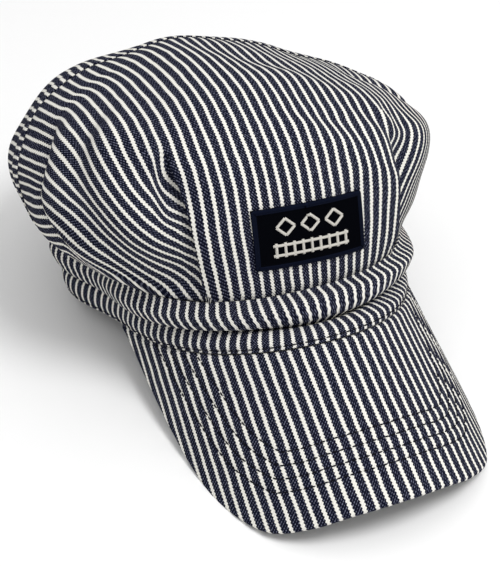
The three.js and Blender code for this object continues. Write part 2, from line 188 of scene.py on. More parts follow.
def band_surface(angle, level, worn=1.0):
    """Outer face of the band, and the way out of it. With worn at 0 it has only its main roll and crease."""
    hem, top = hem_points(angle), band_top_points(angle)
    outward = unit(np.cross(hem_direction(angle), top - hem))
    place = place_of(band_profile, "level", level)
    depth = BAND_CREASE * (1 - CREASE_UNEVEN + CREASE_UNEVEN * np.cos(angle * 3 + 1))
    depth = depth + KINK_DEPTH * bell(turned(angle) - KINK_ANGLE, KINK_WIDTH)
    out = BAND_ROLL * between(band_profile, "roll", place) - depth * between(band_profile, "crease", place)
    front = 1 - smooth(FRONT_UNTIL, BACK_FROM, np.abs(turned(angle)))
    pinch = CREASE_PINCH * bell(level - PINCH_LEVEL, PINCH_SPAN)
    sink = LOWER_SINK * front * stretch(level, SINK_ENDS)
    lip = LIP_OUT * (LIP_SIDES + (1 - LIP_SIDES) * front) * bell(level - LIP_LEVEL, LIP_SPAN)
    buckle = sum(mark["out"] * bell(turned(angle) - mark["angle"], mark["angle_width"])
                 * bell(level - mark["level"], BUCKLE_SPAN) for mark in band_buckles)
    out = out + worn * (lip - pinch - sink + BUCKLE_DEPTH * buckle)
    height = level - worn * LIP_DROOP * bell(level - DROOP_LEVEL, DROOP_SPAN)
    return hem + (top - hem) * height[..., None] + outward * out[..., None], outward


def resting(points):
    """Points of the cap's level frame, as they lie when it is pitched back onto the floor."""
    spin = np.array(Matrix.Rotation(-REST_PITCH, 3, "X"))
    return points @ spin.T


def seat_of_cap():
    """Where the middle of the head oval lies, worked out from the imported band."""
    angle = np.linspace(0, 2 * math.pi, SEAT_COLUMNS + 1)[:-1]
    rings = [band_surface(angle, row["level"] + 0 * angle, worn=0)[0] for row in band_profile]
    ring = resting(np.concatenate(rings))
    low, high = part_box("band")
    middle = (ring.min(0) + ring.max(0)) / 2
    centre = (low + high) / 2
    return np.array([centre.x - middle[0], centre.y - middle[1], high.z - ring[:, 2].max()])


seat = seat_of_cap()


def new_piece(name, points, faces):
    """An object of a new smooth mesh, put into the scene."""
    mesh = bpy.data.meshes.new(name)
    mesh.from_pydata(points, [], faces)
    mesh.shade_smooth()
    piece = bpy.data.objects.new(name, mesh)
    bpy.context.collection.objects.link(piece)
    return piece


def cloth_piece(name, points, cloth, wrap=False):
    """A piece from a grid of points in the level frame, with its cloth coordinates in metres as UVs."""
    rows, columns = points.shape[:2]
    spans = columns if wrap else columns - 1
    row, column = np.divmod(np.arange((rows - 1) * spans), spans)
    after = (column + 1) % columns
    faces = np.stack([row * columns + column, row * columns + after,
                      (row + 1) * columns + after, (row + 1) * columns + column], -1)
    piece = new_piece(name, (resting(points.reshape(-1, 3)) + seat).tolist(), faces.tolist())
    cloth_after = column + 1
    corners = np.stack([cloth[row, column], cloth[row, cloth_after],
                        cloth[row + 1, cloth_after], cloth[row + 1, column]], 1)
    piece.data.uv_layers.new(name="cloth").data.foreach_set("uv", corners.ravel())
    return piece


def thicken(piece, wall):
    """Gives a piece its wall on the inside, and presses what would reach below the floor flat on it."""
    solid = piece.modifiers.new("wall", "SOLIDIFY")
    solid.thickness = wall
    solid.offset = -1
    solid.use_rim = True
    view = bpy.context.evaluated_depsgraph_get()
    mesh = bpy.data.meshes.new_from_object(piece.evaluated_get(view))
    piece.modifiers.clear()
    piece.data = mesh
    for vertex in mesh.vertices:
        vertex.co.z = max(vertex.co.z, 0)


def number(tree, operation, *inputs):
    """Output of a math node fed with numbers and sockets."""
    node = tree.nodes.new("ShaderNodeMath")
    node.operation = operation
    for socket, value in zip(node.inputs, inputs):
        if isinstance(value, (int, float)):
            socket.default_value = value
        else:
            tree.links.new(value, socket)
    return node.outputs[0]


def ramp(tree, value, low, high, start=0.0, end=1.0):
    """Smooth step of a value from start to end between low and high."""
    node = tree.nodes.new("ShaderNodeMapRange")
    node.interpolation_type = "SMOOTHSTEP"
    tree.links.new(value, node.inputs["Value"])
    for name, limit in (("From Min", low), ("From Max", high), ("To Min", start), ("To Max", end)):
        node.inputs[name].default_value = limit
    return node.outputs["Result"]


def blend_of(tree, share, first, second):
    """Colour between two colours or sockets."""
    node = tree.nodes.new("ShaderNodeMix")
    node.data_type = "RGBA"
    tree.links.new(share, node.inputs["Factor"])
    for name, colour in (("A", first), ("B", second)):
        socket = next(s for s in node.inputs if s.name == name and s.type == "RGBA")
        if isinstance(colour, tuple):
            socket.default_value = (*colour, 1)
        else:
            tree.links.new(colour, socket)
    return next(s for s in node.outputs if s.type == "RGBA")


def fluff(tree, where, scale, detail=2.0):
    """Noise in the cloth or in space, from 0 to 1."""
    node = tree.nodes.new("ShaderNodeTexNoise")
    node.inputs["Scale"].default_value = scale
    node.inputs["Detail"].default_value = detail
    tree.links.new(where, node.inputs["Vector"])
    return node.outputs["Fac"]


def cloth_material(name):
    """An empty matt cloth material, with its shader and cloth coordinates."""
    material = bpy.data.materials.new(name)
    material.use_nodes = True
    tree = material.node_tree
    shader = tree.nodes["Principled BSDF"]
    shader.inputs["Roughness"].default_value = 0.95
    shader.inputs["Specular IOR Level"].default_value = 0.02
    place = tree.nodes.new("ShaderNodeUVMap")
    place.uv_map = "cloth"
    return material, tree, shader, place.outputs["UV"]


def axes_of(tree, place):
    """The two cloth coordinates, across and along."""
    axes = tree.nodes.new("ShaderNodeSeparateXYZ")
    tree.links.new(place, axes.inputs[0])
    return axes.outputs["X"], axes.outputs["Y"]


def wave(tree, value, step):
    """Sine wave that repeats every step of a value."""
    return number(tree, "SINE", number(tree, "MULTIPLY", value, 2 * math.pi / step))


def raised(tree, shader, height, strength, depth):
    """Lets a pattern stand out of the surface as bump."""
    bump = tree.nodes.new("ShaderNodeBump")
    bump.inputs["Strength"].default_value = strength
    bump.inputs["Distance"].default_value = depth
    tree.links.new(height, bump.inputs["Height"])
    tree.links.new(bump.outputs["Normal"], shader.inputs["Normal"])


def stripe_denim(name, pitch, first):
    """Hickory-stripe twill: navy and cream warps, the twill's diagonal, and cream weft flecks in the navy."""
    half_stripe, soft_edge = 0.155, 0.022
    twist, wander, waver = 0.0017, 0.00022, 0.0011
    twill_slant, weft_slant, speck_step = 1.35, 0.6, 0.0017
    fleck_strength, fleck_low, fleck_high = 1.2, 1.05, 1.7
    cloud_share, shade_share = 0.25, 0.32
    material, tree, shader, place = cloth_material(name)
    across, along = axes_of(tree, place)
    uneven = number(tree, "SUBTRACT", fluff(tree, place, 90.0), 0.5)
    rope = number(tree, "MULTIPLY", wave(tree, along, twist), wander)
    shift = number(tree, "ADD", rope, number(tree, "MULTIPLY", uneven, waver))
    count = number(tree, "DIVIDE", number(tree, "SUBTRACT", number(tree, "ADD", across, shift), first), pitch)
    part = number(tree, "FRACT", number(tree, "ADD", count, 0.5))
    off = number(tree, "ABSOLUTE", number(tree, "SUBTRACT", part, 0.5))
    cream = ramp(tree, off, half_stripe - soft_edge, half_stripe + soft_edge, 1.0, 0.0)

    slant = number(tree, "ADD", number(tree, "MULTIPLY", across, twill_slant), along)
    ridge_share = number(tree, "MULTIPLY_ADD", wave(tree, slant, twist), 0.5, 0.5)
    fleck = fluff(tree, place, 800.0, 1.0)
    steep = number(tree, "MULTIPLY_ADD", along, weft_slant, number(tree, "MULTIPLY", across, -1.0))
    crossing = number(tree, "MULTIPLY_ADD", wave(tree, steep, speck_step), 0.22, 0.78)
    speck = number(tree, "MULTIPLY", ridge_share, crossing)
    flecked = number(tree, "MULTIPLY_ADD", fleck, fleck_strength, speck)
    fleck_share = ramp(tree, flecked, fleck_low, fleck_high)
    cloud = number(tree, "MULTIPLY", fluff(tree, place, 28.0, 3.0), cloud_share)
    navy = blend_of(tree, cloud, blend_of(tree, fleck_share, NAVY, NAVY_WORN), NAVY_CLOUD)
    shade = number(tree, "MULTIPLY", number(tree, "SUBTRACT", 1.0, ridge_share), shade_share)
    white = blend_of(tree, shade, CREAM, CREAM_SHADE)
    tree.links.new(blend_of(tree, cream, navy, white), shader.inputs["Base Color"])
    height = number(tree, "MULTIPLY_ADD", fleck, 0.5, number(tree, "MULTIPLY_ADD", cream, 0.3, ridge_share))
    raised(tree, shader, height, 0.6, 0.00022)
    return material


round_head = np.linspace(math.pi, 3 * math.pi, BAND_COLUMNS + 1)
band_level = np.linspace(0, 1, BAND_ROWS)
band_points = band_surface(*np.meshgrid(round_head[:-1], band_level))[0]
hem_ring = hem_points(round_head)
hem_run = path_length(hem_ring)
drift = np.sum((band_top_points(round_head) - hem_ring) * hem_direction(round_head), -1)
upright = np.minimum(band_level, 0.5) + UPPER_DRIFT * np.maximum(band_level - 0.5, 0)
band_across = hem_run - hem_run[BAND_COLUMNS // 2] + upright[:, None] * drift
band_along = np.broadcast_to((band_level * BAND_CLOTH_HEIGHT)[:, None], band_across.shape)
band = cloth_piece("band", band_points, np.stack([band_across, band_along], -1), wrap=True)
thicken(band, BAND_WALL)
band.data.materials.append(stripe_denim("band_denim", BAND_PITCH, BAND_FIRST_STRIPE))
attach(band, "root")
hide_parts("band")

# Brim. Two layers of the denim over a curved board, bagged out and turned, with four rows of navy
# topstitching that follow its outline. It is caught in the hem of the band.
BRIM_LENGTH = 0.0835
BRIM_SLOPE = math.radians(37.5)
BRIM_SPREAD = math.radians(3.5)
BRIM_END = math.radians(82)
BRIM_THICKNESS = 0.003
BRIM_FIRST_STRIPE = -0.00132
ROW_INSET = 0.0185
ROW_SPACING = 0.0062
ROW_COUNT = 4
GROOVE_DEPTH = 0.0006
GROOVE_WIDTH = 0.0011
QUILTING_EASE = 0.004
ROOT_GAP = 0.00036
ROOT_VALLEY, ROOT_VALLEY_WIDTH = 0.0009, 0.0012
BRIM_COLUMNS, BRIM_TOP_ROWS, BRIM_EDGE_ROWS, BRIM_UNDER_ROWS = 280, 91, 7, 31
STITCH_SIDES, STITCH_RINGS = 6, 6
THREAD_BOW, THREAD_SUNK, THREAD_TIP = 1.1, 0.35, 0.45
BAND_STITCH_LEVEL, BAND_STITCH_POINTS = 0.06, 700
THREAD_NAVY = (0.002, 0.002, 0.005)

brim_outline = [
    {"angle": 0.0, "length": 1.0},
    {"angle": 0.2, "length": 1.02},
    {"angle": 0.4, "length": 1.08},
    {"angle": 0.54, "length": 1.11},
    {"angle": 0.64, "length": 1.06},
    {"angle": 0.73, "length": 0.97},
    {"angle": 0.79, "length": 0.84},
    {"angle": 0.85, "length": 0.64},
    {"angle": 0.92, "length": 0.37},
    {"angle": 1.0, "length": 0.05},
]


def brim_point(angle, along, out):
    """Point on the brim, along a straight ruling from the hem, and out of its upper face."""
    sine = np.sin(angle)
    lean = np.stack([math.tan(BRIM_SPREAD) * sine, -math.cos(BRIM_SLOPE) + 0 * sine,
                     -math.sin(BRIM_SLOPE) + 0 * sine], -1)
    ruling = unit(lean)
    normal = unit(np.cross(ruling, hem_direction(angle)))
    return hem_points(angle) + ruling * along[..., None] + normal * out[..., None]


def stitched(name, rows, length, space, radius):
    """Rows of running stitches as one mesh. A row is a line of points with the way out of the cloth."""
    sides, rings = STITCH_SIDES, STITCH_RINGS
    bow = np.sin(np.linspace(0, math.pi, rings))
    vertices, faces = [], []
    for points, outward in rows:
        run = path_length(points)
        count = int(run[-1] / (length + space))
        for index in range(count):
            start = index * (length + space)
            at = np.linspace(start, start + length, rings)
            line = np.stack([np.interp(at, run, points[:, axis]) for axis in range(3)], -1)
            up = unit(np.stack([np.interp(at, run, outward[:, axis]) for axis in range(3)], -1))
            ahead = unit(line[-1] - line[0])
            aside = np.cross(ahead, up)
            line = line + up * ((bow * THREAD_BOW - THREAD_SUNK) * radius)[:, None]
            first = len(vertices) * rings * sides
            tube = []
            for ring in range(rings):
                thick = radius * (THREAD_TIP + (1 - THREAD_TIP) * bow[ring])
                for side in range(sides):
                    turn = 2 * math.pi * side / sides
                    spoke = aside[ring] * math.cos(turn) + up[ring] * math.sin(turn)
                    tube.append(line[ring] + thick * spoke)
            vertices.append(np.array(tube))
            for ring in range(rings - 1):
                for side in range(sides):
                    after = (side + 1) % sides
                    low = first + ring * sides
                    faces.append((low + side, low + after, low + sides + after, low + sides + side))
            faces.append(tuple(first + side for side in reversed(range(sides))))
            faces.append(tuple(first + (rings - 1) * sides + side for side in range(sides)))
    places = resting(np.concatenate(vertices)) + seat
    places[:, 2] = np.maximum(places[:, 2], 0)
    return new_piece(name, places.tolist(), faces)


def thread(name, colour):
    """Spun thread, a little smoother than the denim, with its fuzz as bump."""
    material, tree, shader, _ = cloth_material(name)
    shader.inputs["Roughness"].default_value = 0.7
    where = tree.nodes.new("ShaderNodeTexCoord").outputs["Object"]
    worn = tuple(min(1.0, part * 1.7 + 0.01) for part in colour)
    tree.links.new(blend_of(tree, fluff(tree, where, 900.0), colour, worn), shader.inputs["Base Color"])
    raised(tree, shader, fluff(tree, where, 1800.0), 0.5, 0.0001)
    return material


brim_share = np.linspace(-1, 1, BRIM_COLUMNS + 1)
brim_angle = brim_share * BRIM_END
outline_place = place_of(brim_outline, "angle", np.abs(brim_share))
brim_reach = BRIM_LENGTH * between(brim_outline, "length", outline_place)
edge_round = np.minimum(BRIM_THICKNESS / 2, brim_reach / 3)
brim_hem = hem_points(brim_angle)
brim_edge = brim_point(brim_angle, brim_reach, 0 * brim_reach)
root_slant = np.linalg.norm(np.cross(hem_direction(brim_angle), unit(brim_edge - brim_hem)), axis=-1)
brim_root = ROOT_GAP / root_slant

top_steps = np.linspace(0, 1, BRIM_TOP_ROWS)[:, None]
brim_along = brim_root + (brim_reach - edge_round - brim_root) * top_steps
top_points = brim_point(brim_angle + 0 * brim_along, brim_along, 0 * brim_along)
edge_distance = np.stack([np.linalg.norm(brim_edge[None, None] - row[None, :, None], axis=-1).min(-1)[0]
                          for row in top_points])
row_insets = ROW_INSET + ROW_SPACING * np.arange(ROW_COUNT)
groove = sum(bell(edge_distance - inset, GROOVE_WIDTH / 2) for inset in row_insets)
quilting = smooth(row_insets[0] - QUILTING_EASE, row_insets[0], edge_distance)
quilting = quilting * (1 - smooth(row_insets[-1], row_insets[-1] + QUILTING_EASE, edge_distance))
valley = ROOT_VALLEY * bell(brim_along - brim_root, ROOT_VALLEY_WIDTH)
brim_lift = GROOVE_DEPTH * (0.5 * quilting - groove) - valley
brim_top = brim_point(brim_angle + 0 * brim_along, brim_along, brim_lift)

turn = np.linspace(0, math.pi, BRIM_EDGE_ROWS + 2)[1:-1, None]
edge_along = brim_reach - edge_round + edge_round * np.sin(turn)
edge_drop = BRIM_THICKNESS / 2 * (np.cos(turn) - 1) + 0 * edge_along
brim_turn = brim_point(brim_angle + 0 * edge_along, edge_along, edge_drop)
under_steps = np.linspace(1, 0, BRIM_UNDER_ROWS)[:, None]
under_along = brim_root + (brim_reach - edge_round - brim_root) * under_steps
brim_under = brim_point(brim_angle + 0 * under_along, under_along, 0 * under_along - BRIM_THICKNESS)
brim_rows = np.concatenate([brim_top, brim_turn, brim_under, brim_top[:1]])

step = np.diff(brim_hem, axis=0)
cross_step = np.hypot(step[:, 0], step[:, 1] * math.sin(BRIM_SLOPE) - step[:, 2] * math.cos(BRIM_SLOPE))
brim_across = np.concatenate([[0], np.cumsum(cross_step)])
brim_across = brim_across - brim_across[BRIM_COLUMNS // 2]
brim_run = path_length(brim_rows.transpose(1, 0, 2)).T
brim_cloth = np.stack([np.broadcast_to(brim_across, brim_run.shape), brim_run], -1)

brim = cloth_piece("brim", brim_rows[::-1], brim_cloth[::-1])
shape = bmesh.new()
shape.from_mesh(brim.data)
bmesh.ops.remove_doubles(shape, verts=shape.verts, dist=1e-6)
bmesh.ops.holes_fill(shape, edges=[edge for edge in shape.edges if edge.is_boundary])
for vertex in shape.verts:
    vertex.co.z = max(vertex.co.z, 0)
shape.to_mesh(brim.data)
shape.free()
brim.data.materials.append(stripe_denim("brim_denim", BAND_PITCH, BRIM_FIRST_STRIPE))
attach(brim, "root")
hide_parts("brim")

navy_thread = thread("navy_thread", THREAD_NAVY)
stitch_rows = []
for inset in row_insets:
    lines = []
    for column in range(len(brim_angle)):
        fall = edge_distance[:, column]
        if fall[0] < inset:
            continue
        along = np.interp(-inset, -fall, brim_along[:, column])
        lines.append((brim_angle[column], along))
    line_angle, line_along = np.array(lines).T
    row_points = brim_point(line_angle, line_along, 0 * line_along - GROOVE_DEPTH / 2)
    row_up = unit(brim_point(line_angle, line_along, 0 * line_along + 0.001) - row_points)
    stitch_rows.append((row_points, row_up))
brim_stitching = stitched("brim_stitching", stitch_rows, length=0.0030, space=0.0002, radius=0.0004)
brim_stitching.data.materials.append(navy_thread)
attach(brim_stitching, "root")

band_row_angle = np.linspace(-math.pi, math.pi, BAND_STITCH_POINTS)
band_row = band_surface(band_row_angle, BAND_STITCH_LEVEL + 0 * band_row_angle)
band_stitching = stitched("band_stitching", [band_row], length=0.0030, space=0.0005, radius=0.00036)
band_stitching.data.materials.append(navy_thread)
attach(band_stitching, "root")

# Front of the crown. One wide panel of soft denim whose stripes run from the band over the top. Two deep
# pleats, lapped towards the sides, take in its fullness at the band, and the cloth behind them hangs full
# and dented.
CROWN_REACH = {"right": 0.1125, "left": 0.103, "front": 0.091, "back": 0.124}
CROWN_RISE = 0.0995
CROWN_SLUMP = 0.0225
CROWN_SLUMP_FORWARD = 0.0035
CROWN_WALL = 0.0015
CROWN_PITCH = 0.0053
CROWN_FIRST_STRIPE = -0.0016
TOP_PLACE = 9
PLEAT_HALF_SPAN = 0.050
PLEAT_SPREAD = 0.010
PLEAT_TOP_PLACE = 6
PLEAT_FADE_PLACE = 4.4
PLEAT_OPEN_PLACE = 5.5
PLEAT_LAP = 0.0022
PLEAT_DEPTH = 0.0055
PLEAT_MARGIN = 0.006
PLEAT_CLEAR = 0.008
FOOT_TUCK = 0.0012
SIDE_TUCK, SIDE_TUCK_PLACE, SIDE_TUCK_WIDTH = 0.0052, 0.003, 0.015
FOOT_FOLD, FOOT_FADE, FOOT_RISE = 0.45, 0.15, 0.9
LAP_WIDTH, LEAST_SPEED = 0.012, 0.012
FOLD_SHARPNESS, FOLD_WIDTH, FOLD_ENDS = 0.6, 4.0, (-0.3, 0.15, 0.9, 1.5)
ROLL_ENDS = (-0.15, 0.15, 0.85, 1.15)
RIPPLE, CALM_FRONT = 0.00045, 0.25
MIDDLE_COLUMNS, PLEAT_COLUMNS, SIDE_COLUMNS = 90, 31, 120
CROWN_ROWS, CLOSE_ROWS, CLOSE_FROM, CLOSE_TO = 130, 36, 7.0, 8.96
SEAM_BACK = 0.028
SEAM_HEIGHT = 0.071
SEAM_LEAN = 0.4
SEAM_GAP = 0.0003

# Course of the stripes over the crown: the front panel narrows towards the band, and the cloth of the sides
# falls, bulges and, behind the fold on the right, runs down towards the back.
PANEL_TAPER, TAPER_TOP, TAPER_RUN = 0.11, 0.060, 0.040
FALL_TOP, FALL_EASE = 0.088, 0.005
RIGHT_FALL, LEFT_FALL, LEFT_FALL_BEHIND, LEFT_FROM, LEFT_TO = 0.78, 0.5, 0.24, 40, 64
BULGE, BULGE_SIDE, BULGE_HEIGHT, BULGE_WIDTH = 0.0035, 0.072, 0.062, 0.014
REAR_DESCENT, REAR_RUN, REAR_START = 0.24, 0.035, -0.008
REAR_EASE, REAR_END = 0.76, 0.97
LEFT_SPREAD, RIGHT_SPREAD, FOOT_SPREAD, TOP_SPREAD = 9, 3, 7, 30

# The crown's outlines to its four sides, at ten even places from the band to the top: share of its full
# reach and of its full rise. One more row, beyond the top, sets the slope there.
crown_outlines = {
    "frontReach": (1.0, 0.99, 0.975, 0.945, 0.875, 0.76, 0.615, 0.46, 0.275, 0.0),
    "frontRise": (0.04, 0.2, 0.37, 0.53, 0.675, 0.785, 0.88, 0.945, 0.98, 1.0),
    "rightReach": (0.72, 0.835, 0.95, 1.0, 0.99, 0.895, 0.75, 0.535, 0.285, 0.0),
    "rightRise": (0.0, 0.08, 0.215, 0.37, 0.52, 0.66, 0.8, 0.89, 0.955, 1.0),
    "leftReach": (0.75, 0.83, 0.91, 0.985, 1.0, 0.9, 0.72, 0.5, 0.255, 0.0),
    "leftRise": (0.0, 0.08, 0.215, 0.365, 0.495, 0.61, 0.735, 0.84, 0.93, 1.0),
    "backReach": (0.77, 0.865, 0.955, 1.0, 0.955, 0.85, 0.7, 0.495, 0.27, 0.0),
    "backRise": (0.0, 0.07, 0.205, 0.335, 0.48, 0.635, 0.785, 0.905, 0.98, 1.0),
}
crown_sections = [dict(zip(crown_outlines, values)) for values in zip(*crown_outlines.values())]
over_top = {name: value if "Rise" in name else -value for name, value in crown_sections[-2].items()}
crown_sections.append(over_top)

# Dents, with depths as shares of a pleat's depth. Where one is negative, the cloth stands out.
crown_dents = [
    {"angle": -132, "level": 0.7, "angle_width": 12, "level_width": 0.06, "depth": -0.7},
    {"angle": 96, "level": 0.5, "angle_width": 12, "level_width": 0.09, "depth": -0.35},
    {"angle": -93, "level": 0.46, "angle_width": 6, "level_width": 0.11, "depth": 0.9},
    {"angle": -60, "level": 0.52, "angle_width": 16, "level_width": 0.1, "depth": 0.45},
    {"angle": -48, "level": 0.78, "angle_width": 14, "level_width": 0.07, "depth": 0.35},
    {"angle": 22, "level": 0.66, "angle_width": 13, "level_width": 0.08, "depth": 0.4},
    {"angle": -26, "level": 0.42, "angle_width": 4, "level_width": 0.06, "depth": 0.7},
    {"angle": 35, "level": 0.43, "angle_width": 3.5, "level_width": 0.09, "depth": 1.0},
    {"angle": 49, "level": 0.44, "angle_width": 7, "level_width": 0.1, "depth": -0.5},
    {"angle": 120, "level": 0.6, "angle_width": 14, "level_width": 0.1, "depth": 0.4},
    {"angle": 168, "level": 0.38, "angle_width": 12, "level_width": 0.2, "depth": 0.5},
    {"angle": -140, "level": 0.35, "angle_width": 9, "level_width": 0.2, "depth": 0.5},
]

# Hanging folds at the crown's two sides, each a valley down a slanting line.
crown_folds = [
    {"side": -1, "from_angle": 91, "from_level": 0.62, "to_angle": 77, "to_level": 0.25, "depth": 1.6},
    {"side": 1, "from_angle": 90, "from_level": 0.6, "to_angle": 75, "to_level": 0.26, "depth": 0.65},
]

# Soft rolls across the stripes: the cloth stands out in front of each line and sinks behind it.
crown_rolls = [
    {"side": -1, "from_angle": 64, "from_level": 0.74, "to_angle": 42, "to_level": 0.22,
     "height": 0.5, "width": 7.5},
    {"side": 1, "from_angle": 12, "from_level": 0.6, "to_angle": 26, "to_level": 0.33,
     "height": 0.27, "width": 6.5},
]

# Gathers: in front of each line the cloth is drawn up by about one to one and a half stripes, and the stripes
# run down the line.
crown_gathers = [
    {"side": -1, "from_angle": 93, "from_level": 0.68, "to_angle": 78, "to_level": 0.25,
     "pull": 1.5, "run": 8, "reach": 45, "ends": (0, 0.6, 0.9, 1.3)},
    {"side": -1, "from_angle": 33, "from_level": 0.62, "to_angle": 34, "to_level": 0.36,
     "pull": 0.85, "run": 4, "reach": 14, "ends": (0, 0.5, 0.9, 1.3)},
    {"side": 1, "from_angle": 52, "from_level": 0.6, "to_angle": 38, "to_level": 0.32,
     "pull": 1.5, "run": 7, "reach": 200, "ends": (0, 0.3, 0.4, 1.3)},
]

# Course of the cloth through a pleat, from the middle section over its edge, back under it and out to the
# side: millimetres across the pleat's edge when folded and when flat, and out of the crown.
pleat_course = [
    {"folded": -6.0, "flat": -6.0, "out": 1.9, "hidden": 0.0},
    {"folded": -3.0, "flat": -4.5, "out": 2.2, "hidden": 0.0},
    {"folded": 0.4, "flat": -3.0, "out": 1.9, "hidden": 0.0},
    {"folded": 1.5, "flat": -1.5, "out": 0.7, "hidden": 0.02},
    {"folded": 0.0, "flat": 0.0, "out": -0.7, "hidden": 0.2},
    {"folded": -4.5, "flat": 1.5, "out": -1.6, "hidden": 0.5},
    {"folded": -5.0, "flat": 3.0, "out": -3.0, "hidden": 0.75},
    {"folded": -2.0, "flat": 4.5, "out": -4.3, "hidden": 0.95},
    {"folded": 3.0, "flat": 6.0, "out": -4.6, "hidden": 1.0},
    {"folded": 8.0, "flat": 8.0, "out": -4.3, "hidden": 1.0},
]


def crown_reach(side, place):
    """How far the crown stands out to one side, by level. Side is 1 to the left and -1 to the right."""
    name = "left" if side > 0 else "right"
    return between(crown_sections, name + "Reach", place) * CROWN_REACH[name]


def crown_loft(angle, place):
    """The plain swelling form of the crown, from its four outlines, with its slump to the right."""
    sine, cosine = np.sin(angle), np.cos(angle)
    left, front = sine > 0, cosine > 0
    side_reach = np.where(left, crown_reach(1, place), crown_reach(-1, place))
    end_reach = np.where(front, between(crown_sections, "frontReach", place) * CROWN_REACH["front"],
                         between(crown_sections, "backReach", place) * CROWN_REACH["back"])
    side_rise = np.where(left, between(crown_sections, "leftRise", place),
                         between(crown_sections, "rightRise", place))
    end_rise = np.where(front, between(crown_sections, "frontRise", place),
                        between(crown_sections, "backRise", place))
    slump = (place / TOP_PLACE) ** 2
    return np.stack([side_reach * squared(sine) - CROWN_SLUMP * slump,
                     -end_reach * squared(cosine) - CROWN_SLUMP_FORWARD * slump,
                     BAND_TOP_HEIGHT + CROWN_RISE * (side_rise * sine ** 2 + end_rise * cosine ** 2)], -1)


def crown_base(angle, place):
    """The crown before its pleats and dents, with its foot drawn onto the band's top edge."""
    top = band_top_points(angle)
    foot = top + FOOT_TUCK * (np.array([0, 0, -1]) - unit(top * np.array([1, 1, 0])))
    seat_step = top - crown_loft(angle, 0 * place)
    point = crown_loft(angle, place) + seat_step * (1 - smooth(0, 1.5, place))[..., None]
    return point + (foot - top) * (1 - smooth(0, 0.3, place))[..., None]


def pleat_angle(side, place):
    """Angle of a pleat's edge at a level, on either side."""
    level = np.minimum(place, PLEAT_TOP_PLACE)
    across = PLEAT_HALF_SPAN + PLEAT_SPREAD * level / PLEAT_TOP_PLACE
    share = (across + side * CROWN_SLUMP * (level / TOP_PLACE) ** 2) / crown_reach(side, level)
    return np.arcsin(np.clip(share, 0.3, 0.92) ** (SQUARENESS / 2))


def crown_normal(angle, place):
    """The way out of the crown."""
    step = 0.03
    low = np.clip(place, step, TOP_PLACE - 2 * step)
    along = crown_base(angle + step, low) - crown_base(angle - step, low)
    up = crown_base(angle, low + step) - crown_base(angle, low - step)
    return unit(np.cross(along, up))


def fold_angle(fold, level):
    """Where a fold runs at a level, in degrees, and how far along the fold that level is."""
    along = (level - fold["from_level"]) / (fold["to_level"] - fold["from_level"])
    return fold["from_angle"] + (fold["to_angle"] - fold["from_angle"]) * np.minimum(along, 1.15), along


def slack(angle, place, point):
    """How far the soft cloth stands out or sinks in, in dents, folds, rolls and a gentle unevenness."""
    degrees, level = turned(angle), place / TOP_PLACE
    out = 0 * degrees
    for dent in crown_dents:
        away = np.abs(degrees - dent["angle"])
        away = np.minimum(away, 360 - away)
        out = out - dent["depth"] * PLEAT_DEPTH * bell(away, dent["angle_width"]) * bell(
            level - dent["level"], dent["level_width"])
    for fold in crown_folds:
        middle, along = fold_angle(fold, level)
        away = degrees * fold["side"] - middle
        valley = np.exp(-(np.sqrt(away ** 2 + FOLD_SHARPNESS ** 2) - FOLD_SHARPNESS) / FOLD_WIDTH)
        out = out - fold["depth"] * PLEAT_DEPTH * stretch(along, FOLD_ENDS) * valley
    for roll in crown_rolls:
        middle, along = fold_angle(roll, level)
        away = (degrees * roll["side"] - middle) / roll["width"]
        swell = away * np.exp(0.5 - 0.5 * away ** 2)
        out = out - roll["height"] * PLEAT_DEPTH * stretch(along, ROLL_ENDS) * swell
    # The unevenness is two pairs of crossing waves, 45 to 120 mm long.
    x, y, z = point[..., 0], point[..., 1], point[..., 2]
    ripple = np.sin(x / 0.0071 + y / 0.0132 + 1.0) * np.sin(z / 0.0093 - y / 0.011 + 0.4)
    ripple = ripple + np.sin(x / 0.0115 - z / 0.0127 + 2.1) * np.sin(y / 0.0084 + z / 0.019)
    side_share = smooth(20, 60, np.abs(degrees))
    ripple = ripple * (CALM_FRONT + (1 - CALM_FRONT) * side_share)
    out = out + RIPPLE * ripple * smooth(0.05, 0.2, level)
    return out * smooth(0, 0.6, place)


def side_extra():
    """Cloth used up from the top down to each level, on each side, beyond the distance from the middle."""
    place = np.linspace(0, TOP_PLACE, 181)[::-1]
    extra = {}
    for name, angle in (("left", math.pi / 2), ("right", -math.pi / 2), ("front", 0.0), ("back", math.pi)):
        line = crown_base(angle + 0 * place, place)
        axis = 0 if name in ("left", "right") else 1
        extra[name] = path_length(line) - np.abs(line[:, axis] - line[0, axis])
    return place[::-1], {name: values[::-1] for name, values in extra.items()}


def gathered(degrees, level):
    """How much cloth the gathers have drawn up, across the stripes."""
    drawn = 0 * degrees
    for gather in crown_gathers:
        middle, along = fold_angle(gather, level)
        away = degrees * gather["side"] - middle
        near = np.exp(np.minimum(away + gather["run"], 0) / gather["reach"])
        near = near * (1 - smooth(-gather["run"], 0, away)) * (degrees * gather["side"] > 0)
        drawn = drawn + gather["pull"] * CROWN_PITCH * stretch(along, gather["ends"]) * near
    return drawn


extra_place, extra_cloth = side_extra()


